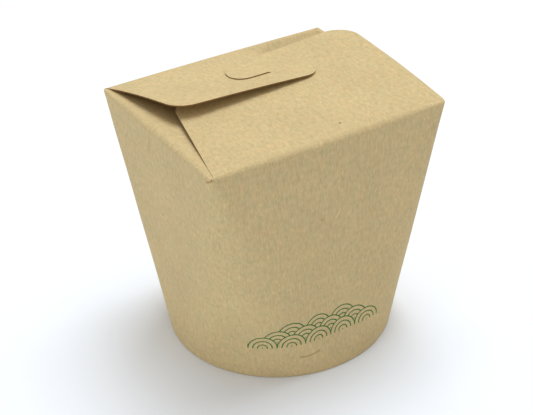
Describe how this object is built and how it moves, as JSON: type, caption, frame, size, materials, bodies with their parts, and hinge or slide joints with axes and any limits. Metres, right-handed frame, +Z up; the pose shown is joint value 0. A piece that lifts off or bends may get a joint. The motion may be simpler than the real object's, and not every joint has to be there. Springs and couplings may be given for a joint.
{
  "type": "noodle takeaway box",
  "caption": "Shut kraft card noodle takeaway box: round foot, walls flaring to a rectangular top, long flaps hooked together over two side flaps.",
  "frame": {"origin": "on the table, under the middle of the overall length and width", "axes": "+X along the front top fold, +Y from the front wall to the back wall, +Z up"},
  "size_m": [0.1036, 0.092, 0.106],
  "materials": {
    "kraft_card": "matte"
  },
  "bodies": {
    "root": {"carton": "kraft_card"}
  },
  "joints": []
}
